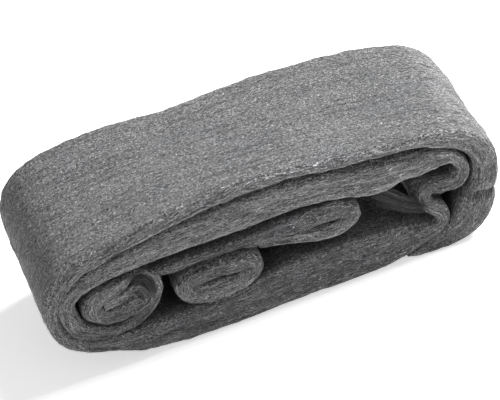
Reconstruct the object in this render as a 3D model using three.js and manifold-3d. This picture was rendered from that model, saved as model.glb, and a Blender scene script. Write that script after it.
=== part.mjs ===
// Steel wool bundle: one long ribbon of fine steel fibres, folded and rolled
// back on itself into a flattened bundle.  Millimetres, +Z up, X along the
// bundle, Y across it; the bundle rests on its pressed underside at Z = 0.
import * as THREE from 'three';
import { mergeVertices } from 'three/addons/utils/BufferGeometryUtils.js';
import Module from 'manifold-3d';

// ---- driving dimensions -------------------------------------------------
const ribbonWidth = 95; // the ribbon's own width, across the bundle
const softEdge = 5; // how far in from a side edge a layer starts to round off
const edgeDrop = 2; // how much each face of a layer drops at its side edge
const innerRecess = 2.5; // the inner folds stop this far short of the side edges
const seatHeight = -1.2; // the underside is pressed flat at this height of the stations below
const cutsPerStation = 3; // cuts of the outline between two stations
const farShorter = 7.5; // how much shorter the far side is at the right end
const farLonger = 1; // and how much longer at the left end
const topHeight = 82;

// How much higher the top of the far side lies than the near side's, at places
// along the bundle: the far side is flatter on top.  [along X, lift].
const farLift = [
  [-125, 16], [-105, 10], [-80, 6], [-60, 2.4], [-45, -1.5], [-30, -5.2], [-10, -6.2], [10, -4],
  [35, -1], [60, 0.6], [80, 0.5], [100, -1.5], [125, -3],
];

// The ribbon's path, seen square to the bundle's near long side, from its
// tucked outer end to its core.  A station is [along X, height Z, thickness].
const tuckedEnd = [[66, 0.6, 4.8], [72, 1.2, 5.2], [78, 2, 6.6], [84, 3, 9.4], [91.4, 4.6, 13.8]];
const rightEnd = [
  [101, 9.2, 18.4], [108.4, 16.2, 20.4], [113.4, 23.4, 18.4], [117, 30, 15.4], [119.6, 39, 15],
  [119, 51, 14.4], [109.5, 62, 11.5],
];
const outerTop = [
  [93, 67.6, 8.4], [70, 71.2, 6.8], [45, 74.8, 7.6], [20, 79, 8], [-10, 81.4, 9], [-40, 79, 9],
  [-70, 74.2, 8.5], [-97, 68, 8],
];
const leftEnd = [[-112, 59, 8], [-120, 46.5, 7.5], [-120, 33, 7.5], [-113.5, 21.5, 8], [-99, 14, 10.5]];
const bottomBand = [
  [-80, 9.4, 17], [-60, 8.2, 18.8], [-35, 8.3, 20.8], [-12, 9.4, 22.8], [8, 11.2, 26],
  [25, 11, 25.6], [48, 10.7, 25], [63, 10.8, 21.6], [76, 11.2, 14.4],
];
const crumple = [[85.5, 11.8, 8.1], [90.8, 16, 7.2], [88.8, 22, 8.5], [82.5, 26, 9.4], [80.5, 33, 11.1]];
const returnTurn = [[86.5, 37, 10.5], [96, 36, 14], [103.5, 38.4, 12], [107.6, 44.5, 9], [104, 52, 9.5]];
const secondLayer = [
  [96, 55, 13.6], [80, 55.2, 18.4], [62, 56.2, 23.4], [45, 60.5, 21], [20, 65, 21], [-10, 65.3, 22],
  [-40, 65, 19], [-70, 62.4, 15.5], [-95, 58, 11.5],
];
const rolledTurn = [
  [-109.5, 51.5, 11], [-112.8, 40.5, 11.5], [-109.3, 30, 12], [-99.5, 23.8, 10], [-88, 21.8, 8],
  [-76, 23.8, 7], [-66.8, 30.5, 5.8], [-62.8, 39, 5], [-64.4, 47.8, 4.6], [-73, 50, 5],
];
const core = [
  [-84, 46.4, 9.5], [-94, 44.6, 12], [-99.6, 38.6, 12.6], [-94.5, 33, 12], [-84, 32, 11.4],
  [-72.8, 35.4, 11.8], [-74, 41, 10.4], [-84, 40, 9.4], [-93, 39.4, 7],
];
// two stretches whose ends run out of sight between the layers
const innerLayer = [
  [-66, 47.5, 4.5], [-50, 45.5, 7], [-25, 44, 9], [0, 45.2, 10.5], [20, 45.4, 11.4],
  [36, 45.3, 11.4], [45.3, 40.5, 9.4], [37, 35.4, 10.4], [24, 35.2, 10.2], [10, 38.5, 8], [-6, 41, 5],
];
const innerHairpin = [
  [-27, 36.3, 11], [-15, 34.8, 10.5], [-13, 29.5, 10], [-22, 24.6, 11.5], [-38, 24.6, 12],
  [-47.5, 27.5, 10.4], [-47.8, 34.6, 10.4], [-38, 36.8, 12.4], [-25, 36.3, 11],
];

// ---- the far side's own outline: points shift in step with how far across they are
function lean(geometry) {
  const spots = geometry.attributes.position;
  for (let i = 0; i < spots.count; i += 1) {
    const x = spots.getX(i);
    const z = spots.getZ(i);
    const across = (spots.getY(i) + ribbonWidth / 2) / ribbonWidth;
    const place = THREE.MathUtils.clamp(x, farLift[0][0], farLift.at(-1)[0]);
    const next = Math.max(farLift.findIndex(([along]) => along >= place), 1);
    const [x0, lift0] = farLift[next - 1];
    const [x1, lift1] = farLift[next];
    const lift = THREE.MathUtils.mapLinear(place, x0, x1, lift0, lift1);
    const shorter = farShorter * THREE.MathUtils.clamp((x - 20) / 100, 0, 1) ** 2;
    const longer = farLonger * THREE.MathUtils.clamp((-x - 60) / 60, 0, 1) ** 2;
    const high = THREE.MathUtils.clamp((z - seatHeight) / topHeight, 0, 1);
    spots.setX(i, x - across * (shorter + longer));
    spots.setZ(i, z + across * lift * high);
  }
}

// ---- a stretch of a path as a solid: its outline carried across the bundle --
function stretch(path, first, last, recess) {
  const middle = new THREE.SplineCurve(path.map(([x, z]) => new THREE.Vector2(x, z)));
  const swell = new THREE.SplineCurve(path.map(([, , t], i) => new THREE.Vector2(i, t / 2)));
  const step = 1 / ((path.length - 1) * cutsPerStation);
  const upper = [];
  const lower = [];
  for (let cut = first * cutsPerStation; cut <= last * cutsPerStation; cut += 1) {
    const u = Math.min(cut * step, 1);
    const here = middle.getPoint(u);
    const along = middle.getTangent(u);
    const half = swell.getPoint(u).y;
    const u0 = Math.max(u - step / 2, 0);
    const u1 = Math.min(u + step / 2, 1);
    const turn = middle.getTangent(u0).cross(middle.getTangent(u1));
    const bend = turn / middle.getPoint(u0).distanceTo(middle.getPoint(u1));
    // inside a tight fold a layer is only as deep as the fold's own radius
    const left = bend > 0 ? Math.min(half, 0.8 / bend) : half;
    const right = bend < 0 ? Math.min(half, -0.8 / bend) : half;
    upper.push(new THREE.Vector2(here.x - along.y * left, here.y + along.x * left));
    lower.push(new THREE.Vector2(here.x + along.y * right, here.y - along.x * right));
  }
  const geometry = new THREE.ExtrudeGeometry(new THREE.Shape(upper.concat(lower.reverse())), {
    depth: ribbonWidth - 2 * softEdge - 2 * recess,
    steps: 1,
    bevelThickness: softEdge,
    bevelSize: edgeDrop,
    bevelOffset: -edgeDrop,
    bevelSegments: 2,
  });
  geometry.rotateX(Math.PI / 2);
  geometry.translate(0, ribbonWidth / 2 - softEdge - recess, 0);
  lean(geometry);
  return geometry;
}

const wasm = await Module();
wasm.setup();

function solidOf(geometry) {
  geometry.deleteAttribute('normal');
  geometry.deleteAttribute('uv');
  const welded = mergeVertices(geometry, 1e-4);
  return new wasm.Manifold(new wasm.Mesh({
    numProp: 3,
    vertProperties: new Float32Array(welded.attributes.position.array),
    triVerts: new Uint32Array(welded.index.array),
  }));
}

// ---- the folded ribbon, joined turn by turn so that no turn crosses itself --
const turns = [
  tuckedEnd, rightEnd, outerTop, leftEnd, bottomBand, crumple, returnTurn, secondLayer,
  rolledTurn, core,
];
const ribbonPath = turns.flat();
let ribbon = solidOf(stretch(innerLayer, 0, 6, innerRecess));
ribbon = ribbon.add(solidOf(stretch(innerLayer, 5, innerLayer.length - 1, innerRecess)));
ribbon = ribbon.add(solidOf(stretch(innerHairpin, 0, 4, innerRecess)));
ribbon = ribbon.add(solidOf(stretch(innerHairpin, 3, innerHairpin.length - 1, innerRecess)));
let start = 0;
for (const turn of turns) {
  const first = Math.max(start - 1, 0);
  const last = Math.min(start + turn.length, ribbonPath.length - 1);
  ribbon = ribbon.add(solidOf(stretch(ribbonPath, first, last, 0)));
  start += turn.length;
}

// the underside is pressed flat where the bundle lies on it
const below = new THREE.BoxGeometry(400, 200, 40);
below.translate(0, 0, seatHeight - 20);
ribbon = ribbon.subtract(solidOf(below)).simplify(0.06);

// layers that only just touch leave crumbs and pinholes behind: the ribbon is the one large body
const [wholeRibbon] = ribbon.decompose().sort((a, b) => b.volume() - a.volume());
const joined = wholeRibbon.getMesh();
const ribbonGeometry = new THREE.BufferGeometry();
ribbonGeometry.setAttribute('position', new THREE.BufferAttribute(joined.vertProperties, 3));
ribbonGeometry.setIndex(new THREE.BufferAttribute(joined.triVerts, 1));
ribbonGeometry.computeBoundingBox();
const { min, max } = ribbonGeometry.boundingBox;
ribbonGeometry.translate(-(min.x + max.x) / 2, 0, -seatHeight);
ribbonGeometry.computeVertexNormals();

const steelWool = new THREE.MeshStandardMaterial({ color: 0x8c8c8e, roughness: 0.7, metalness: 0.55 });
steelWool.name = 'steel_wool';

const woolRibbon = new THREE.Mesh(ribbonGeometry, steelWool);
woolRibbon.name = 'wool_ribbon';

const bundle = new THREE.Group();
bundle.name = 'steel_wool_bundle';
bundle.add(woolRibbon);

export default bundle;
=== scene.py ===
import math

import bmesh
import bpy
import numpy as np
from mathutils import Matrix, Vector, noise
from mathutils.bvhtree import BVHTree


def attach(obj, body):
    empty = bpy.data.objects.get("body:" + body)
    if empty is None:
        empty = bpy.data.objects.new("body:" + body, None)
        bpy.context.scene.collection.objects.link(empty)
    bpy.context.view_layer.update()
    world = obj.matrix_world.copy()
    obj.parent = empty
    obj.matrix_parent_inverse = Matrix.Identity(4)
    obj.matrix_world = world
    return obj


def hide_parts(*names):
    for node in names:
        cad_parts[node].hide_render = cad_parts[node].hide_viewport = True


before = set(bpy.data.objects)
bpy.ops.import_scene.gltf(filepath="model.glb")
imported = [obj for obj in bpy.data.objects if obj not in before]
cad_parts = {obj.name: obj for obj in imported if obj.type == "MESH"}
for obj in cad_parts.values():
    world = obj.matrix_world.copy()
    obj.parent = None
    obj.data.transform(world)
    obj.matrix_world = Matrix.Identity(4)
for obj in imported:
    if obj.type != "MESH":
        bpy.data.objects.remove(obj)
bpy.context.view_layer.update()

# ---------------------------------------------------------------------------
# The folded ribbon: one long, soft ribbon of matted steel fibres.  It goes once
# round the outside of the bundle, back along the bottom, crumples at the right,
# returns as a thick second layer and rolls up on itself at the left.

MM = 0.001
HALF_WIDTH = 47.5
SEAT = -1.2       # the underside is pressed flat at this height of the stations
MIDDLE = 0.75     # the stations' own middle, along the bundle
RING_FACE = 31    # points across each broad face of the ribbon
RING_EDGE = 13    # points round each side edge

# stations of the ribbon's middle on the near side: along the bundle, height,
# thickness, and how far its near edge stops short of the bundle's side (mm)
ribbon_stations = [
    # the outer end, tucked under at the right
    (67, 0.2, 1.6, 2.5), (72, 1.0, 4.2, 1), (78, 2, 6.6, 0.4), (84, 3, 9.4, 0),
    (91.4, 4.6, 13.8, 0), (101, 9.2, 18.4, 0), (108.4, 16.2, 20.4, 0),
    # up round the right end, with a pinch low down
    (113.4, 23.4, 18.4, 0), (117, 30, 15.4, 0), (119.6, 39, 15, 0), (119, 51, 14.4, 0),
    (109.5, 62, 11.5, 0),
    # over the top
    (93, 67.6, 8.4, 0), (70, 71.2, 6.8, 0), (45, 74.8, 7.6, 0), (20, 79, 8, 0), (-10, 81.4, 9, 0),
    (-40, 79, 9, 0), (-70, 74.2, 8.5, 0), (-97, 68, 8, 0),
    # down round the left end
    (-112, 59, 8, 0), (-120, 46.5, 7.5, 0), (-120, 33, 7.5, 0), (-113.5, 21.5, 8, 0),
    (-99, 14, 10.5, 0),
    # back along the bottom, where it is thickest
    (-80, 9.4, 17, 0), (-60, 8.2, 18.8, 0), (-35, 8.3, 20.8, 0), (-12, 9.4, 22.8, 0),
    (8, 11.2, 26, 0), (25, 11, 25.6, 0), (48, 10.7, 25, 0), (63, 10.8, 21.6, 0),
    (76, 11.2, 14.4, 0),
    # the crumpled fold inside the right end
    (85.5, 11.8, 9.5, 0.3), (90.8, 16, 8.5, 0.5), (89.8, 22, 9.6, 1), (85, 26.6, 9.6, 2.2),
    (83.6, 33, 10.8, 3.4), (88.5, 37.4, 11.4, 3.2), (97, 36, 13.6, 1.6), (103.5, 38.4, 12, 0.8),
    (107.6, 44.5, 9, 0.4), (104, 52, 9.5, 0.4),
    # the thick second layer under the top
    (96, 55, 13.6, 0.6), (80, 55.2, 18.4, 0.8), (62, 56.2, 23.4, 0.8), (45, 60.5, 21, 0.8),
    (20, 65, 21, 0.6), (-10, 65.3, 22, 0.6), (-40, 65, 19, 0.6), (-70, 62.4, 15.5, 0.5),
    (-95, 58, 11.5, 0.4),
    # the roll at the left
    (-109.5, 51.5, 11.6, 0.3), (-112.6, 40.5, 12, 0.3), (-109.3, 30, 12.4, 0.3),
    (-99.5, 23.8, 10, 0.3), (-88, 21.8, 8, 0.6), (-76, 23.8, 7, 1.8), (-67.4, 30.2, 5.8, 2.4),
    (-62.6, 39, 4.8, 1.2), (-64.2, 47.8, 4.4, 1.2), (-73, 50, 5, 3.4),
    # and its core, which fills the roll
    (-84, 46.4, 9.5, 1.4), (-94, 44.6, 12, 0.6), (-99.6, 38.6, 12.6, 0.4), (-94.5, 33, 12, 0.4),
    (-84, 31.6, 12.4, 0.4), (-70.8, 34.4, 13, 0.6), (-74, 40, 8.8, 3), (-84, 40, 9.4, 0.8),
    (-93, 39.4, 7, 0.6),
]

# creases and hollows on the near side: how wide, how deep, and their line (mm)
NEAR_CREASES = [
    # between the roll's outer turn and its core
    (1.3, 1.3, [(-87, 51), (-96.5, 51), (-102.3, 48.3), (-106.4, 41.8), (-104.3, 33.2),
                (-96.3, 27.2)]),
    (1.2, 1.6, [(-83.5, 24), (-80.7, 28.2), (-79.5, 30.5)]),
    (5.0, 3.6, [(-69, 45)]),
    # between the outer wrap and the second layer
    (1.8, 1.8, [(-106, 58.3), (-97, 63.6), (-70, 69.8), (-40, 74.2), (-10, 76.3), (20, 75),
                (45, 71)]),
    (2.3, 2.8, [(14, 75.8), (32, 73.4), (50, 70.6)]),
    (3.0, 4.4, [(52, 70), (65, 68), (77, 66), (90, 63.4)]),
    # between the outer wrap and the roll
    (1.1, 1.1, [(-117.6, 46), (-116.2, 32), (-103.5, 22.2), (-81, 18.6), (-56, 17.4)]),
    # over the hairpin
    (2.2, 2.6, [(-56, 40), (-35, 42.3), (-15, 41)]),
    # in and round the crumpled fold
    (6.0, 6.0, [(74, 26), (77, 42)]),
    (2.0, 3.4, [(126, 23.6), (115.4, 23.7), (109.8, 25.2), (102.5, 30.6)]),
    (2.6, 4.0, [(96, 25), (97, 30)]),
    (3.2, 5.4, [(84, 44.4), (92, 46), (101, 47.2)]),
]

CURVE_CUTS = 24   # points of the smooth curve between two stations


def even_path(stations, step):
    """Points every step mm along a smooth curve through the stations, with directions."""
    pts = np.array(stations, float)
    padded = np.vstack([pts[0], pts, pts[-1]])
    dense = []
    for k in range(len(pts) - 1):
        p0, p1, p2, p3 = padded[k:k + 4]
        t = np.linspace(0, 1, CURVE_CUTS, endpoint=False)[:, None]
        m1, m2 = (p2 - p0) / 2, (p3 - p1) / 2
        dense.append((2 * p1 - 2 * p2 + m1 + m2) * t ** 3
                     + (3 * p2 - 3 * p1 - 2 * m1 - m2) * t ** 2 + m1 * t + p1)
    dense = np.vstack(dense + [pts[-1:]])
    run = np.concatenate([[0], np.cumsum(np.hypot(*np.diff(dense[:, :2], axis=0).T))])
    at = np.linspace(0, run[-1], int(run[-1] / step) + 1)
    x, z, t, short = (np.interp(at, run, dense[:, k]) for k in range(4))
    dx, dz = np.gradient(x, at), np.gradient(z, at)
    size = np.hypot(dx, dz)
    return at, x, z, t, dx / size, dz / size, short


# the far side of the bundle is flatter on top and shorter at the right: how
# much higher its top lies than the near side's, at places along the bundle (mm)
FAR_LIFT = [
    (-125, 16), (-105, 10), (-80, 6), (-60, 2.4), (-45, -1.5), (-30, -5.2), (-10, -6.2), (10, -4),
    (35, -1), (60, 0.6), (80, 0.5), (100, -1.5), (125, -3),
]
FAR_SHORT = 7.5               # how much shorter the far side is at the right end (mm)
SHORT_FROM, SHORT_OVER = 20, 100   # where that begins, and the length it grows over
FAR_LONG = 1                  # how much longer the far side is at the left end
LONG_FROM, LONG_OVER = 60, 60
TOP = 82                      # the height at which the lift is whole


def lean(place):
    """Shift points towards the far side's own outline, in step with how far across they are."""
    x, y, z = place.T
    depth = (y + HALF_WIDTH) / (2 * HALF_WIDTH)
    lift = np.interp(x, *np.transpose(FAR_LIFT)) * depth * np.clip(z / TOP, 0, 1)
    short = FAR_SHORT * depth * np.clip((x - SHORT_FROM) / SHORT_OVER, 0, 1) ** 2
    long = FAR_LONG * depth * np.clip((-x - LONG_FROM) / LONG_OVER, 0, 1) ** 2
    return np.stack([x - short - long, y, z + lift], 1)


def sunk(x, z):
    """How deep the near side is creased in at points of the bundle's long section."""
    total = np.zeros(len(x))
    here = np.stack([x, z], 1)
    for reach, depth, line in NEAR_CREASES:
        line = np.array(line, float)
        gap = np.hypot(*(here - line[0]).T)
        for start, end in zip(line[:-1], line[1:]):
            side = end - start
            share = np.clip((here - start) @ side / (side @ side), 0, 1)
            gap = np.minimum(gap, np.hypot(*(here - start - share[:, None] * side).T))
        total = np.maximum(total, depth * np.exp(-(gap / reach) ** 2))
    return total


def ring_places():
    """Round the section: across (1 far side to -1 near side), and through (1 inner face to -1
    outer face).  It starts on the inner face at the far side."""
    span = np.linspace(1, -1, RING_FACE)
    turn = np.linspace(1, -1, RING_EDGE + 2)[1:-1]
    across = np.concatenate([span, -np.ones(RING_EDGE), span[::-1], np.ones(RING_EDGE), [1]])
    through = np.concatenate([np.ones(RING_FACE), turn, -np.ones(RING_FACE), -turn, [1]])
    return across, through


def relief(along, across, seed, sizes):
    """A sum of soft noises: (height, length along, length across) in mm, for each."""
    total = np.zeros(len(along))
    for k, (height, run, width) in enumerate(sizes):
        total += height * np.array([
            noise.noise((a / run, b / width, seed + 3.7 * k)) for a, b in zip(along, across)
        ])
    return total


BROAD_RELIEF = [(1.0, 46, 30), (0.45, 15, 9), (0.3, 60, 4.2), (0.3, 5, 3.0)]
EDGE_RELIEF = [(0.7, 22, 5), (0.55, 34, 1.8), (0.6, 5, 2.2)]
EDGE_WANDER = [(1.0, 60, 1), (0.6, 21, 1), (0.3, 7, 1)]
SEAM_WANDER = [(1, 50, 1), (1, 15, 1)]
SEAM_FADE = [(1, 33, 1)]
EDGES_APART = 90      # keeps the lumps of the two side edges apart in the noise (mm)
FACES_APART = 500     # and those of the two broad faces
EDGE_MARGIN = 0.6     # room left inside the full width for the edges to wander in (mm)
FAR_SHARE = 0.4       # how much of the near edge's shortfall the far edge has
BARE_FADE = 30        # the length over which the extra rounding comes and goes (mm)
FACE_DROP = 2.4       # how far a broad face falls towards a side edge (mm)
BARE_DROP = 2.8       # and how much further where nothing presses on it
EDGE_POWER = 5        # how square the side edge is
BARE_POWER = 2.8      # and how much less square where nothing presses on it
SEAM_DEPTH = 0.9      # the seam along a side edge (mm)
SEAM_REACH = 0.8
UV_ROUND = 272        # the room round the section in the pattern's own map, in mm
UV_SHIFT = 14         # how far the near edge lies from the middle of that map, in mm


def sweep_layer(name, stations, seed, bare_run, step):
    """The ribbon as one closed skin: a grid bent round the section and along the path.  Its
    outer face rounds off further between the two places in bare_run, where nothing presses."""
    at, x, z, t, dx, dz, short = even_path(stations, step)
    across, through = ring_places()
    rings, points = len(at) - 1, len(across) - 1

    bm = bmesh.new()
    bm.loops.layers.uv.new("OFBake")
    bmesh.ops.create_grid(bm, x_segments=rings, y_segments=points, size=0.5, calc_uvs=True)
    mesh = bpy.data.meshes.new(name)
    bm.to_mesh(mesh)
    bm.free()
    flat = np.empty(len(mesh.vertices) * 3)
    mesh.vertices.foreach_get("co", flat)
    flat = flat.reshape(-1, 3) + 0.5
    i = np.rint(flat[:, 0] * rings).astype(int)
    j = np.rint(flat[:, 1] * points).astype(int)
    s, a, b = at[i], across[j], through[j]
    thick = t[i] / 2
    edge = np.abs(b) < 1
    zeros = np.zeros(len(at))

    # each side edge wanders in and out, and the faces round off towards it
    wander = {side: relief(at, zeros, seed + 11 * side, EDGE_WANDER) for side in (-1, 1)}
    half = HALF_WIDTH - EDGE_MARGIN - np.where(
        a < 0, (short - wander[-1])[i], (FAR_SHARE * short - wander[1])[i])
    bare = (np.clip((s - bare_run[0]) / BARE_FADE, 0, 1)
            * np.clip((bare_run[1] - s) / BARE_FADE, 0, 1))
    inner_drop = np.minimum(FACE_DROP, 0.5 * thick)
    outer_drop = np.minimum(FACE_DROP + BARE_DROP * bare, 0.9 * thick)
    drop = np.where(b > 0, inner_drop * np.abs(b) ** EDGE_POWER,
                    outer_drop * np.abs(b) ** (EDGE_POWER - BARE_POWER * bare))
    # the doubled ribbon shows a faint seam along its side edge
    seam = 0.25 * relief(at, zeros, seed + 31, SEAM_WANDER)[i]
    seam_depth = SEAM_DEPTH * np.clip(0.4 + relief(at, zeros, seed + 57, SEAM_FADE)[i], 0, 1)
    groove = seam_depth * np.exp(-((b - seam) * thick / SEAM_REACH) ** 2) * (thick > 3)
    lines = relief(s, b * thick + EDGES_APART * np.sign(a), seed + 5, EDGE_RELIEF)
    face_drop = np.where(b > 0, inner_drop, outer_drop)
    y = np.where(edge, np.sign(a) * (half - drop - groove + lines), a * (half - face_drop))
    # the broad faces: soft lumps, and a fall over the last few mm before the edge
    crown = 1 - 0.08 * np.abs(a) ** 10
    broad = relief(s, y + FACES_APART * (b < 0), seed, BROAD_RELIEF)
    lift = b * (thick * crown + np.where(edge, 0.5, 1.0) * broad * np.clip(t[i] / 9, 0.5, 1))
    long_way, height = x[i] - dz[i] * lift, z[i] + dx[i] * lift
    y = y + sunk(long_way, height) * np.clip(-a, 0, 1) ** 3
    place = lean(np.stack([long_way - MIDDLE, y, height - SEAT], 1))
    place[:, 2] = np.maximum(place[:, 2], 0.0)
    mesh.vertices.foreach_set("co", (place * MM).ravel())

    # the pattern's map is in true mm, measured from the middle of the near edge
    face = 2 * HALF_WIDTH
    from_near = np.where(
        edge & (a < 0), -b * thick,
        np.where(~edge, -b * (thick + (a + 1) / 2 * face), thick + face + (1 + b) * thick))
    from_near = np.where(j == points, 3 * thick + face, from_near)
    own_map = np.stack([s / at[-1], 0.5 + (from_near - UV_SHIFT) / UV_ROUND], 1)
    corner = np.empty(len(mesh.loops), int)
    mesh.loops.foreach_get("vertex_index", corner)
    mesh.uv_layers["OFBake"].data.foreach_set("uv", own_map[corner].ravel())
    which = mesh.attributes.new("grid_place", "INT", "POINT")
    which.data.foreach_set("value", (i * (points + 1) + j).astype(np.int32))

    bm = bmesh.new()
    bm.from_mesh(mesh)
    bmesh.ops.remove_doubles(bm, verts=bm.verts, dist=1e-7)
    bmesh.ops.holes_fill(bm, edges=[k for k in bm.edges if k.is_boundary], sides=0)
    bmesh.ops.recalc_face_normals(bm, faces=bm.faces)
    for skin_face in bm.faces:
        skin_face.smooth = True
    bm.to_mesh(mesh)
    bm.free()
    layer = bpy.data.objects.new(name, mesh)
    bpy.context.scene.collection.objects.link(layer)
    grid = np.empty((rings + 1, points + 1, 3))
    grid[i, j] = place
    return layer, grid, at


folded_ribbon, ribbon_grid, ribbon_run = sweep_layer(
    "folded_ribbon", ribbon_stations, 1.0, (90, 430), 1.5)

# ---------------------------------------------------------------------------
# Two inner stretches of the same ribbon, lying loose inside the fold: a layer
# that comes off the roll and doubles back at its right end, and a short
# hairpin under it.  Both stop a little short of the side edges.

inner_stations = [
    (-66, 47.5, 4.5, 3), (-50, 46, 8.4, 3.4), (-25, 44.8, 10.4, 3), (0, 45.6, 11.4, 2),
    (20, 45.4, 11.4, 1.2), (36, 45.3, 11.4, 0.6), (45.3, 40.5, 9.4, 0.5), (37, 35.4, 10.4, 0.6),
    (24, 35.2, 10.2, 1), (10, 38.5, 8, 1.5), (-6, 41, 5, 3),
]
hairpin_stations = [
    (-27, 35.6, 12.5, 1), (-15, 34, 12, 1), (-12.5, 29, 11, 0.8), (-22, 24.2, 12.4, 0.4),
    (-38, 23.6, 12.6, 0.4), (-48, 26.4, 12, 0.8), (-48.2, 33.4, 12, 1.2), (-38, 35.6, 12.8, 1),
    (-25, 35.5, 12.5, 1),
]
NOT_BARE = (-90, -50)     # a run that ends before the path begins
inner_layer, inner_grid, inner_run = sweep_layer(
    "inner_layer", inner_stations, 40.0, NOT_BARE, 1.6)
inner_hairpin, hairpin_grid, hairpin_run = sweep_layer(
    "inner_hairpin", hairpin_stations, 70.0, NOT_BARE, 1.6)

# how open each point of a skin is to the air: 1 on the outside, near 0 down in
# a fold.  The skins' colour is darkened by it there: painted shade.
OPEN_REACH = 26       # how far a point looks for another layer (mm)
OPEN_START = 0.4      # how far off its own layer it starts looking
CREASE_START, CREASE_REACH = 3.2, 6   # how deep the near edge begins to darken, and over what depth


def open_air(grids):
    """For each grid: its outward directions, and how open its points are."""
    verts, faces = [], []
    base = 0
    for grid in grids:
        rows, cols = grid.shape[:2]
        verts.append(grid.reshape(-1, 3))
        index = base + np.arange(rows * cols).reshape(rows, cols)
        faces.append(np.stack(
            [index[:-1, :-1], index[1:, :-1], index[1:, 1:], index[:-1, 1:]], -1).reshape(-1, 4))
        base += rows * cols
    tree = BVHTree.FromPolygons(np.vstack(verts).tolist(), np.vstack(faces).tolist())
    turns = np.arange(6) * math.pi / 3
    spread = [(0.0, 0.0, 1.0)] + [(0.8 * math.cos(k), 0.8 * math.sin(k), 0.6) for k in turns]
    found = []
    for grid in grids:
        along = np.gradient(grid, axis=0)
        around = np.gradient(grid, axis=1)
        out = np.cross(around, along)
        area = np.linalg.norm(out, axis=2)
        out = out / np.maximum(area, 1e-9)[..., None]
        along = along / np.maximum(np.linalg.norm(along, axis=2), 1e-9)[..., None]
        side = np.cross(out, along)
        share = np.zeros(grid.shape[:2])
        start = grid + out * OPEN_START
        for u, v, w in spread:
            aim = along * u + side * v + out * w
            free = [tree.ray_cast(p, d, OPEN_REACH)[0] is None
                    for p, d in zip(start.reshape(-1, 3).tolist(), aim.reshape(-1, 3).tolist())]
            share += np.array(free).reshape(share.shape) / len(spread)
        for _ in range(2):
            share[1:-1] = (share[:-2] + 2 * share[1:-1] + share[2:]) / 4
            share[:, 1:-1] = (share[:, :-2] + 2 * share[:, 1:-1] + share[:, 2:]) / 4
        found.append((out, area, share))
    return found


layers = [folded_ribbon, inner_layer, inner_hairpin]
layer_grids = [ribbon_grid, inner_grid, hairpin_grid]
layer_skins = open_air(layer_grids)
ring_at = np.arange(ribbon_grid.shape[1])
near_edge = (ring_at >= RING_FACE) & (ring_at < RING_FACE + RING_EDGE)
far_edge = ring_at >= 2 * RING_FACE + RING_EDGE
broad_face = ~near_edge & ~far_edge
for layer, grid, (_, _, share) in zip(layers, layer_grids, layer_skins):
    # painted shade: the near edge is darkened again where it is creased in
    painted_crease_shade = np.clip((grid[:, near_edge, 1] + HALF_WIDTH - CREASE_START) / CREASE_REACH, 0, 1)
    share[:, near_edge] *= 1 - 0.75 * painted_crease_shade
    mesh = layer.data
    which = np.empty(len(mesh.vertices), np.int32)
    mesh.attributes["grid_place"].data.foreach_get("value", which)
    mesh.attributes.remove(mesh.attributes["grid_place"])
    # the openness goes to the skins' material as painted shade in folds and creases
    openness = mesh.attributes.new("open_air", "FLOAT", "POINT")
    openness.data.foreach_set("value", share.ravel()[which].astype(np.float32))
    edge = mesh.attributes.new("side_edge", "FLOAT", "POINT")
    at_edge = np.tile(~broad_face, (share.shape[0], 1)).ravel()[which]
    edge.data.foreach_set("value", at_edge.astype(np.float32))

# ---------------------------------------------------------------------------
# The matted steel that every layer is made of: fine short fibres that cross at
# small angles, combed lines along the side edges, long bands, faint warm
# and cool patches, and painted shade down in the folds.


def new_group(name, inputs, outputs):
    group = bpy.data.node_groups.new(name, "ShaderNodeTree")
    for kind, label in inputs:
        group.interface.new_socket(label, in_out="INPUT", socket_type=kind)
    for kind, label in outputs:
        group.interface.new_socket(label, in_out="OUTPUT", socket_type=kind)
    return group, group.nodes.new("NodeGroupInput"), group.nodes.new("NodeGroupOutput")


def larger_of(tree, first, second):
    node = tree.nodes.new("ShaderNodeMath")
    node.operation = "MAXIMUM"
    tree.links.new(first, node.inputs[0])
    tree.links.new(second, node.inputs[1])
    return node.outputs[0]


def stretched_noise(tree, place, slant, run, width, shift, detail):
    """Noise drawn out in one direction: its slant in degrees, its length and its width."""
    turned = tree.nodes.new("ShaderNodeMapping")
    turned.vector_type = "TEXTURE"
    turned.inputs["Location"].default_value = (shift, 0, shift)
    turned.inputs["Rotation"].default_value = (0, 0, math.radians(slant))
    turned.inputs["Scale"].default_value = (run, width, 1)
    tree.links.new(place, turned.inputs["Vector"])
    cloud = tree.nodes.new("ShaderNodeTexNoise")
    cloud.inputs["Scale"].default_value = 1.0
    cloud.inputs["Detail"].default_value = detail
    tree.links.new(turned.outputs[0], cloud.inputs["Vector"])
    return cloud.outputs["Fac"]


def ramp_node(tree, value, stops):
    """A colour ramp with a stop for each (position, colour)."""
    ramp = tree.nodes.new("ShaderNodeValToRGB")
    elements = ramp.color_ramp.elements
    elements[0].position, elements[0].color = stops[0][0], (*stops[0][1], 1)
    elements[1].position, elements[1].color = stops[-1][0], (*stops[-1][1], 1)
    for position, colour in stops[1:-1]:
        elements.new(position).color = (*colour, 1)
    tree.links.new(value, ramp.inputs["Fac"])
    return ramp.outputs["Color"]


def multiply_colour(tree, first, second):
    mix = tree.nodes.new("ShaderNodeMix")
    mix.data_type = "RGBA"
    mix.blend_type = "MULTIPLY"
    mix.inputs["Factor"].default_value = 1.0
    tree.links.new(first, mix.inputs["A"])
    tree.links.new(second, mix.inputs["B"])
    return mix.outputs["Result"]


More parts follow.
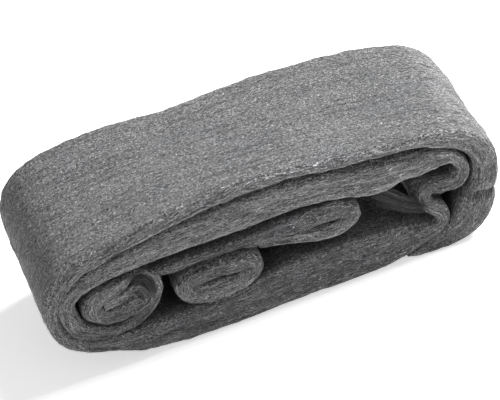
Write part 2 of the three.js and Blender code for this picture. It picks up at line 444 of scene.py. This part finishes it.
wool_grain, grain_in, grain_out = new_group(
    "wool_grain",
    [("NodeSocketVector", "Place")],
    [("NodeSocketFloat", "Streaks"), ("NodeSocketFloat", "Combed"),
     ("NodeSocketFloat", "Bands"), ("NodeSocketFloat", "Patches")],
)
bend = wool_grain.nodes.new("ShaderNodeTexNoise")
bend.inputs["Scale"].default_value = 0.12
bend.inputs["Detail"].default_value = 1.0
wool_grain.links.new(grain_in.outputs["Place"], bend.inputs["Vector"])
sway = wool_grain.nodes.new("ShaderNodeVectorMath")
sway.operation = "MULTIPLY_ADD"
sway.inputs[1].default_value = (3.0, 3.0, 0.0)
wool_grain.links.new(bend.outputs["Color"], sway.inputs[0])
wool_grain.links.new(grain_in.outputs["Place"], sway.inputs[2])
place = sway.outputs[0]
streaks = None
for slant, run, width, shift in (
        (-30, 1.5, 0.38, 0), (-14, 2.1, 0.35, 5), (2, 2.1, 0.38, 9), (22, 1.4, 0.4, 14)):
    fibre = stretched_noise(wool_grain, place, slant, run, width, shift, 1.5)
    streaks = fibre if streaks is None else larger_of(wool_grain, streaks, fibre)
sharpen = wool_grain.nodes.new("ShaderNodeMapRange")
sharpen.inputs["From Min"].default_value = 0.5
sharpen.inputs["From Max"].default_value = 0.75
wool_grain.links.new(streaks, sharpen.inputs["Value"])
wool_grain.links.new(sharpen.outputs["Result"], grain_out.inputs["Streaks"])
for label, run, width, shift in (
        ("Combed", 16, 0.75, 11), ("Bands", 70, 2.2, 3), ("Patches", 42, 22, 6)):
    drawn = stretched_noise(wool_grain, place, 0, run, width, shift, 2.0)
    wool_grain.links.new(drawn, grain_out.inputs[label])


def matted_steel(name, length, seed):
    """Steel wool on a layer of this length, its pattern laid along the layer in mm."""
    material = bpy.data.materials.new(name)
    material.use_nodes = True
    tree = material.node_tree
    skin = tree.nodes["Principled BSDF"]
    uv = tree.nodes.new("ShaderNodeUVMap")
    uv.uv_map = "OFBake"
    laid = tree.nodes.new("ShaderNodeMapping")
    laid.inputs["Location"].default_value = (seed * 31, 0, seed)
    laid.inputs["Scale"].default_value = (length, UV_ROUND, 1)
    tree.links.new(uv.outputs["UV"], laid.inputs["Vector"])
    grain = tree.nodes.new("ShaderNodeGroup")
    grain.node_tree = wool_grain
    tree.links.new(laid.outputs[0], grain.inputs["Place"])
    streak = ramp_node(tree, grain.outputs["Streaks"], [
        (0.0, (0.03, 0.03, 0.031)), (0.3, (0.11, 0.11, 0.112)),
        (0.7, (0.36, 0.36, 0.36)), (1.0, (0.78, 0.78, 0.775))])
    band = ramp_node(tree, grain.outputs["Bands"], [
        (0.32, (0.55, 0.55, 0.56)), (0.46, (0.95, 0.95, 0.95)), (0.7, (1.0, 1.0, 1.0))])
    patch = ramp_node(tree, grain.outputs["Patches"], [
        (0.35, (0.90, 0.905, 0.92)), (0.55, (1.0, 0.995, 1.0)), (0.7, (1.0, 0.985, 0.98))])
    # painted shade: the skin darkens where the open_air attribute says it lies down in a fold or
    # crease
    air = tree.nodes.new("ShaderNodeAttribute")
    air.attribute_name = "open_air"
    depth = ramp_node(tree, air.outputs["Fac"], [
        (0.0, (0.22, 0.22, 0.235)), (0.25, (0.62, 0.62, 0.64)), (0.5, (1.0, 1.0, 1.0))])
    side = tree.nodes.new("ShaderNodeAttribute")
    side.attribute_name = "side_edge"
    lines = ramp_node(tree, grain.outputs["Combed"], [
        (0.34, (0.36, 0.36, 0.37)), (0.5, (0.85, 0.85, 0.86)), (0.66, (1.3, 1.3, 1.3))])
    combed = tree.nodes.new("ShaderNodeMix")
    combed.data_type = "RGBA"
    combed.inputs["A"].default_value = (1, 1, 1, 1)
    tree.links.new(side.outputs["Fac"], combed.inputs["Factor"])
    tree.links.new(lines, combed.inputs["B"])
    banded = multiply_colour(tree, streak, band)
    shaded = multiply_colour(tree, patch, depth)
    colour = multiply_colour(tree, banded, shaded)
    colour = multiply_colour(tree, colour, combed.outputs["Result"])
    tree.links.new(colour, skin.inputs["Base Color"])
    skin.inputs["Metallic"].default_value = 0.35
    rough = tree.nodes.new("ShaderNodeMapRange")
    rough.inputs["To Min"].default_value = 0.75
    rough.inputs["To Max"].default_value = 0.42
    tree.links.new(grain.outputs["Streaks"], rough.inputs["Value"])
    tree.links.new(rough.outputs["Result"], skin.inputs["Roughness"])
    bump = tree.nodes.new("ShaderNodeBump")
    bump.inputs["Strength"].default_value = 0.9
    bump.inputs["Distance"].default_value = 0.0005
    tree.links.new(grain.outputs["Streaks"], bump.inputs["Height"])
    tree.links.new(bump.outputs["Normal"], skin.inputs["Normal"])
    return material


for layer, run, seed in zip(layers, (ribbon_run, inner_run, hairpin_run), (1, 2, 3)):
    layer.data.materials.append(matted_steel("matted_steel_" + layer.name, float(run[-1]), seed))
    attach(layer, "root")
    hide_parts("wool_ribbon")

# ---------------------------------------------------------------------------
# Loose fibres on the skin: fine strands that lie mostly along the ribbon, cross
# one another and dip back into the mat at both ends.

rng = np.random.default_rng(7)
STRAND_CUTS = 3
TONES = 64          # shades of fibre, each with its own column in the strands' map
WILD_SHARE = 0.08   # the share of strands that lie any way round
WILD_TURN = 1.4     # and how far round, in radians
ROOT_DEPTH = 0.12   # how deep a strand's ends dip into the mat (mm)
TIP = 0.35          # how thick a strand is at its ends, next to its middle
LOWEST = 0.1        # no strand lies closer to the floor than this (mm)


def sample(grid, i, j):
    """The grid between its points."""
    i = np.clip(i, 0, grid.shape[0] - 1.001)
    j = j % (grid.shape[1] - 1)
    i0, j0 = i.astype(int), j.astype(int)
    fi, fj = (i - i0)[..., None], (j - j0)[..., None]
    j1 = np.minimum(j0 + 1, grid.shape[1] - 1)
    return ((grid[i0, j0] * (1 - fj) + grid[i0, j1] * fj) * (1 - fi)
            + (grid[i0 + 1, j0] * (1 - fj) + grid[i0 + 1, j1] * fj) * fi)


def strand_points(grid, skin, weight, count, size_range, slant, curl, height):
    """Count strands of STRAND_CUTS + 1 points each on a layer, in mm, and how open they lie."""
    out, _, share = skin
    pick = rng.choice(weight.size, count, p=(weight / weight.sum()).ravel())
    i, j = np.unravel_index(pick, weight.shape)
    air = share[i, j]
    i = i + rng.uniform(-0.5, 0.5, count)
    j = j + rng.uniform(-0.5, 0.5, count)
    i_mm = np.linalg.norm(np.diff(grid[:, 0], axis=0), axis=1).mean()
    size = rng.uniform(*size_range, count)
    heading = rng.normal(slant[0], slant[1], count)
    wild = rng.random(count) < WILD_SHARE
    heading[wild] = rng.uniform(-WILD_TURN, WILD_TURN, wild.sum())
    turn = rng.normal(0, curl, (STRAND_CUTS + 1, count))
    rise = rng.gamma(2.0, height / 2, count)
    places = []
    for k in range(STRAND_CUTS + 1):
        lift = -ROOT_DEPTH + (rise + ROOT_DEPTH) * math.sin(math.pi * k / STRAND_CUTS) ** 0.8
        places.append(sample(grid, i, j) + sample(out, i, j) * lift[:, None])
        # one step on along the skin
        step = size / STRAND_CUTS
        around = np.linalg.norm(sample(grid, i, j + 0.5) - sample(grid, i, j - 0.5), axis=1)
        i = i + step * np.cos(heading) / i_mm
        j = j + step * np.sin(heading) / np.maximum(around, 0.6)
        heading = heading + turn[k]
    return np.stack(places, 1), air


def strand_piece(name, points, radius, tone, material):
    """Strands as one mesh: each a curve with a small three-sided section."""
    cuts = points.shape[1] - 1
    profile = bpy.data.curves.new(name + "_section", "CURVE")
    ring = profile.splines.new("POLY")
    ring.points.add(2)
    for k in range(3):
        angle = 2 * math.pi * k / 3
        ring.points[k].co = (math.cos(angle) * MM, math.sin(angle) * MM, 0, 1)
    ring.use_cyclic_u = True
    section = bpy.data.objects.new(name + "_section", profile)
    curve = bpy.data.curves.new(name + "_line", "CURVE")
    curve.dimensions = "3D"
    curve.bevel_mode = "OBJECT"
    curve.bevel_object = section
    curve.use_fill_caps = True
    taper = np.ones(cuts + 1)
    taper[[0, -1]] = TIP
    points = points.copy()
    points[..., 2] = np.maximum(points[..., 2], LOWEST)
    for strand, size in zip(points, radius):
        line = curve.splines.new("POLY")
        line.points.add(cuts)
        co = np.ones((cuts + 1, 4))
        co[:, :3] = strand * MM
        line.points.foreach_set("co", co.ravel())
        line.points.foreach_set("radius", taper * size)
    rod = bpy.data.objects.new(name + "_line", curve)
    bpy.context.scene.collection.objects.link(rod)
    bpy.context.view_layer.update()
    mesh = bpy.data.meshes.new_from_object(rod.evaluated_get(bpy.context.evaluated_depsgraph_get()))
    bpy.data.objects.remove(rod)
    bpy.data.objects.remove(section)
    mesh.name = name
    piece = bpy.data.objects.new(name, mesh)
    bpy.context.scene.collection.objects.link(piece)
    mesh.materials.clear()
    mesh.materials.append(material)
    # the map: a column for each shade, and the way along the strand.  The end
    # caps' corners come first, from the last strand to the first
    count = len(points)
    corner = np.empty(len(mesh.loops), int)
    mesh.loops.foreach_get("vertex_index", corner)
    body = corner - 6 * count
    cap = body < 0
    strand = np.where(cap, count - 1 - corner // 6, body // (3 * (cuts + 1)))
    along = np.where(cap, np.where(corner % 6 < 3, cuts, 0), body % (3 * (cuts + 1)) // 3)
    round_it = corner % 3
    column = (np.floor(np.clip(tone, 0, 0.999) * TONES) + 0.5) / TONES
    own_map = np.stack([column[strand] + (round_it - 1) * 0.3 / TONES,
                        0.05 + 0.9 * along / cuts + 0.01 * (round_it == 1)], 1)
    while mesh.uv_layers:
        mesh.uv_layers.remove(mesh.uv_layers[0])
    mesh.uv_layers.new(name="OFBake").data.foreach_set("uv", own_map.ravel())
    bm = bmesh.new()
    bm.from_mesh(mesh)
    bmesh.ops.remove_doubles(bm, verts=bm.verts, dist=1e-8)
    for side in bm.faces:
        side.smooth = False
    bm.to_mesh(mesh)
    bm.free()
    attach(piece, "root")
    return piece


def loose_fibre(name, rough):
    """Bare steel strands: their shade runs across the map, and varies a little along them."""
    material = bpy.data.materials.new(name)
    material.use_nodes = True
    tree = material.node_tree
    skin = tree.nodes["Principled BSDF"]
    uv = tree.nodes.new("ShaderNodeUVMap")
    uv.uv_map = "OFBake"
    parts = tree.nodes.new("ShaderNodeSeparateXYZ")
    tree.links.new(uv.outputs["UV"], parts.inputs[0])
    shade = ramp_node(tree, parts.outputs["X"], [
        (0.0, (0.03, 0.03, 0.032)), (0.3, (0.12, 0.12, 0.122)),
        (0.65, (0.36, 0.36, 0.358)), (1.0, (0.75, 0.75, 0.745))])
    worn = ramp_node(tree, stretched_noise(tree, uv.outputs["UV"], 0, 0.02, 0.2, 0, 1.0), [
        (0.3, (0.7, 0.7, 0.7)), (0.7, (1.0, 1.0, 1.0))])
    tree.links.new(multiply_colour(tree, shade, worn), skin.inputs["Base Color"])
    skin.inputs["Metallic"].default_value = 0.5
    skin.inputs["Roughness"].default_value = rough
    return material


bare_fibre = loose_fibre("bare_steel_fibre", 0.5)


def spread_strands(name, where, count, size_range, slant, curl, height, thin, tone):
    """Strands over the parts of every layer where the given test holds and air gets in."""
    weights = []
    for grid, (out, area, share) in zip(layer_grids, layer_skins):
        weights.append(area * (share > 0.1) * where(grid, out))
    total = sum(k.sum() for k in weights)
    found = [
        strand_points(grid, skin, weight, int(count * weight.sum() / total),
                      size_range, slant, curl, height)
        for grid, skin, weight in zip(layer_grids, layer_skins, weights) if weight.sum() > 0
    ]
    points = np.concatenate([k[0] for k in found])
    air = np.concatenate([k[1] for k in found])
    radius = rng.uniform(*thin, len(points))
    # a random tone, darkened as painted shade where the strand lies down in a fold
    shade = rng.beta(*tone, len(points)) * np.clip(0.35 + 1.1 * air, 0, 1)
    return strand_piece(name, points, radius, shade, bare_fibre)


spread_strands("near_edge_fibres", lambda grid, out: near_edge[None] * np.ones(grid.shape[:2]),
               9700, (3.5, 9.0), (0.0, 0.32), 0.22, 0.22, (0.035, 0.07), (1.6, 1.6))
spread_strands("far_edge_fibres", lambda grid, out: far_edge[None] * np.ones(grid.shape[:2]),
               8600, (3.5, 9.0), (0.0, 0.32), 0.22, 0.22, (0.035, 0.07), (1.6, 1.6))
spread_strands("top_fibres", lambda grid, out: broad_face[None] * (out[..., 2] > 0.35),
               9700, (3.0, 7.5), (-0.22, 0.38), 0.4, 0.2, (0.035, 0.07), (1.8, 1.4))
spread_strands("end_fibres", lambda grid, out: broad_face[None] * (out[..., 2] <= 0.35),
               9700, (3.0, 7.5), (-0.22, 0.38), 0.4, 0.2, (0.035, 0.07), (1.8, 1.6))

# ---------------------------------------------------------------------------
# Pulled fibres: a torn lock of the ribbon that runs down from under the second
# layer into the crumpled fold, and short curls in the hollow of the roll.


def pulled_lock(name, line, count, spread, deep, thin):
    """Count strands side by side along a line of the long section, at a depth from the side."""
    line = np.array(line, float)
    narrowing = np.linspace(1, 0.45, len(line))[None, :, None]
    offset = rng.normal(0, 1, (count, 1, 2)) * spread * narrowing
    wave = rng.normal(0, 0.3, (count, len(line), 2))
    flat = line[None] + offset + wave
    places = np.empty((count, len(line), 3))
    places[..., 0] = flat[..., 0] - MIDDLE
    depth = rng.uniform(*deep, count)[:, None] + rng.normal(0, 0.2, (count, len(line)))
    places[..., 1] = -HALF_WIDTH + depth
    places[..., 2] = flat[..., 1] - SEAT
    strand_piece(name, places, rng.uniform(*thin, count), rng.beta(1.2, 2.8, count), bare_fibre)


pulled_lock("pulled_lock", [(60, 44), (67, 37.5), (75, 30), (85, 24.5)],
            220, (1.8, 3.8), (3, 9), (0.05, 0.11))
pulled_lock("hollow_curls", [(-76, 50.5), (-70, 48.5), (-67, 43), (-66.5, 37)],
            90, (2.4, 1.8), (1.5, 4), (0.04, 0.09))

# ---------------------------------------------------------------------------
# Floor, soft studio light and the camera.

FLOOR_GAP = 0.0002    # the floor lies this far under the bundle, in metres
bpy.ops.mesh.primitive_plane_add(size=6, location=(0, 0, -FLOOR_GAP))
floor = bpy.context.object
floor.name = "floor"
paper = bpy.data.materials.new("white_paper")
paper.use_nodes = True
paper_skin = paper.node_tree.nodes["Principled BSDF"]
paper_skin.inputs["Base Color"].default_value = (0.9, 0.9, 0.9, 1)
paper_skin.inputs["Roughness"].default_value = 0.9
paper_skin.inputs["Emission Color"].default_value = (1, 1, 1, 1)
paper_skin.inputs["Emission Strength"].default_value = 0.5
floor.data.materials.append(paper)

world = bpy.data.worlds.new("studio")
bpy.context.scene.world = world
world.use_nodes = True
world.node_tree.nodes["Background"].inputs["Color"].default_value = (1, 1, 1, 1)
world.node_tree.nodes["Background"].inputs["Strength"].default_value = 0.36


def soft_light(name, place, aim, size, power):
    data = bpy.data.lights.new(name, "AREA")
    data.size = size
    data.energy = power
    lamp = bpy.data.objects.new(name, data)
    bpy.context.scene.collection.objects.link(lamp)
    lamp.location = place
    lamp.rotation_euler = (Vector(aim) - Vector(place)).to_track_quat("-Z", "Y").to_euler()


soft_light("key", (1.1, 0.32, 1.2), (0, 0, 0.04), 0.9, 68)
soft_light("fill", (0.45, -1.0, 0.4), (0, 0, 0.04), 0.8, 1.8)

azimuth, elevation, roll = math.radians(-5), math.radians(38), math.radians(17)
distance = 3.0
seen_width = 5 / 19       # how much of the bundle's own plane the view takes in, in metres
target = Vector((-0.00075, 0, 0.0382))
right = Vector((math.cos(azimuth), math.sin(azimuth), 0))
up = Vector((-math.sin(azimuth) * math.sin(elevation),
             math.cos(azimuth) * math.sin(elevation), math.cos(elevation)))
back = right.cross(up)
cam_right = right * math.cos(roll) - up * math.sin(roll)
cam_up = right * math.sin(roll) + up * math.cos(roll)
camera_data = bpy.data.cameras.new("camera")
camera_data.sensor_width = 36
camera_data.lens = camera_data.sensor_width * distance / seen_width
camera_data.clip_end = 20
camera = bpy.data.objects.new("camera", camera_data)
bpy.context.scene.collection.objects.link(camera)
turned = Matrix((cam_right, cam_up, back)).transposed().to_4x4()
turned.translation = target + back * distance
camera.matrix_world = turned
bpy.context.scene.camera = camera
bpy.context.scene.view_settings.view_transform = "Standard"
